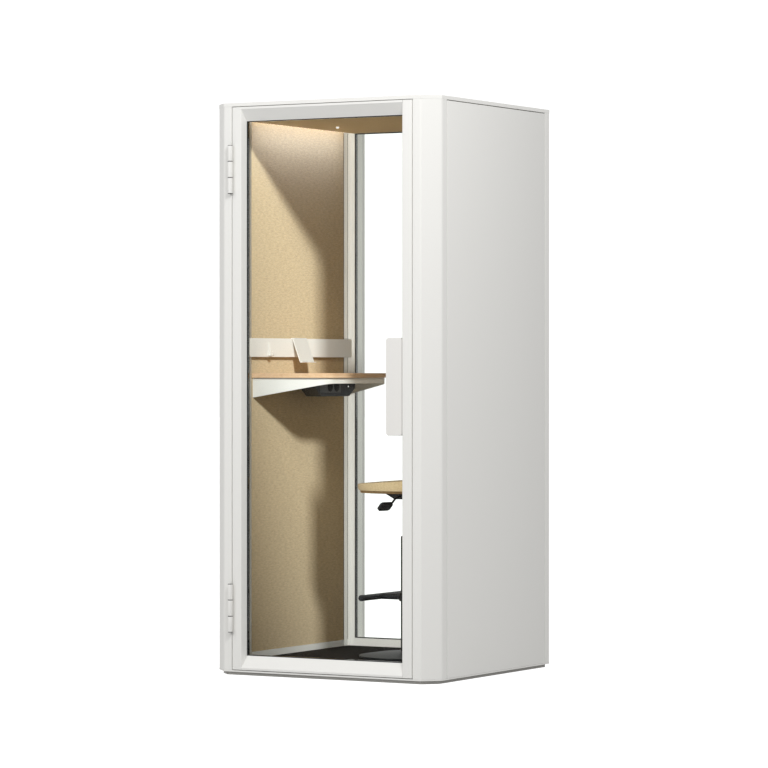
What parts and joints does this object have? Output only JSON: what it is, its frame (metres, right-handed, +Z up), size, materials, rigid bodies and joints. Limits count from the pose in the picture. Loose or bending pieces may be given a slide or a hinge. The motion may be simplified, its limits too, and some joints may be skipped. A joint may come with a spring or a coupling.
{
  "type": "acoustic office pod",
  "caption": "Chamfered square one-person acoustic pod with hinged glass door, glass rear wall, felt-lined walls, wall desk, accessory rail and swivel stool.",
  "frame": {"origin": "under the middle of the whole object, on the floor", "axes": "+Z up, the glass door faces -Y, the desk is on the -X wall"},
  "size_m": [1, 1.0192, 2.225],
  "materials": {
    "white_paint": "satin powder coat",
    "warm_white_paint": "satin powder coat",
    "dark_base": "matt laminate",
    "board": "raw board",
    "carpet": "loop pile carpet tile",
    "insulation": "mineral wool",
    "beige_felt": "woven wool felt",
    "opal_diffuser": "opal light diffuser",
    "black_rubber": "matt",
    "black_plastic": "moulded, fine texture",
    "black_steel": "black powder coat",
    "oak": "oiled oak",
    "plywood": "birch ply",
    "clear_glass": "clear laminated safety glass"
  },
  "bodies": {
    "pod": {"base_plinth": "dark_base", "base_plate": "white_paint", "floor_deck": "board", "carpet": "carpet", "corner_post_front_left": "white_paint", "corner_post_front_right": "white_paint", "corner_post_rear_left": "white_paint", "corner_post_rear_right": "white_paint", "outer_panel_left": "white_paint", "outer_panel_right": "white_paint", "wall_core_left": "insulation", "wall_core_right": "insulation", "felt_panel_left": "beige_felt", "felt_panel_right": "beige_felt", "skirting_left": "white_paint", "skirting_right": "white_paint", "roof_cap": "white_paint", "roof_core": "insulation", "ceiling_panel": "beige_felt", "led_strip_left": "opal_diffuser", "led_strip_right": "opal_diffuser", "presence_sensor": "white_paint", "fan_housing": "black_plastic", "rear_stile_left": "warm_white_paint", "rear_stile_right": "warm_white_paint", "rear_rail_top": "warm_white_paint", "rear_rail_bottom": "warm_white_paint", "rear_glass": "clear_glass", "rear_gasket": "black_rubber", "door_stop_left": "white_paint", "door_stop_right": "white_paint", "hinge_upper_frame_leaf": "white_paint", "hinge_lower_frame_leaf": "white_paint", "desk_top": "oak", "desk_tray": "white_paint", "power_unit": "black_plastic", "accessory_rail": "warm_white_paint", "stool_base": "black_steel", "stool_column": "black_steel", "foot_bar": "black_steel"},
    "door": {"door_stile_hinge": "white_paint", "door_stile_pull": "white_paint", "door_rail_top": "white_paint", "door_rail_bottom": "white_paint", "door_glass": "clear_glass", "door_gasket": "black_rubber", "door_pull_outer": "warm_white_paint", "door_pull_inner": "warm_white_paint", "hinge_upper_door_leaf": "white_paint", "hinge_lower_door_leaf": "white_paint"},
    "fan": {"fan_rotor": "black_plastic"},
    "hook": {"coat_hook": "warm_white_paint"},
    "holder": {"phone_holder": "warm_white_paint"},
    "stool_rod": {"gas_rod": "black_steel"},
    "stool_seat": {"seat_mechanism": "black_steel", "seat_pan": "plywood", "seat_cushion": "beige_felt"},
    "lever": {"lift_lever": "black_plastic"}
  },
  "joints": [
    {"name": "door_swing", "type": "hinge", "parent": "pod", "child": "door", "pos_m": [-0.4045, -0.50015, 1.1], "axis": [0, 0, -1], "range_deg": [0, 110]},
    {"name": "fan_spin", "type": "hinge", "parent": "pod", "child": "fan", "pos_m": [0.21, 0.14965, 2.19], "axis": [0, 0, 1], "continuous": true},
    {"name": "hook_slide", "type": "slide", "parent": "pod", "child": "hook", "axis": [0, 1, 0], "range_m": [-0.115, 0.04]},
    {"name": "holder_slide", "type": "slide", "parent": "pod", "child": "holder", "axis": [0, 1, 0], "range_m": [-0.09, 0.3]},
    {"name": "seat_height", "type": "slide", "parent": "pod", "child": "stool_rod", "axis": [0, 0, 1], "range_m": [-0.09, 0.1]},
    {"name": "seat_swivel", "type": "hinge", "parent": "stool_rod", "child": "stool_seat", "pos_m": [0.097, 0.00965, 0.69], "axis": [0, 0, 1], "continuous": true},
    {"name": "lever_lift", "type": "hinge", "parent": "stool_seat", "child": "lever", "pos_m": [0.0902, -0.02894, 0.6947], "axis": [-0.9848, 0.1736, 0], "range_deg": [0, 10], "stiffness_Nm_per_rad": 4}
  ]
}
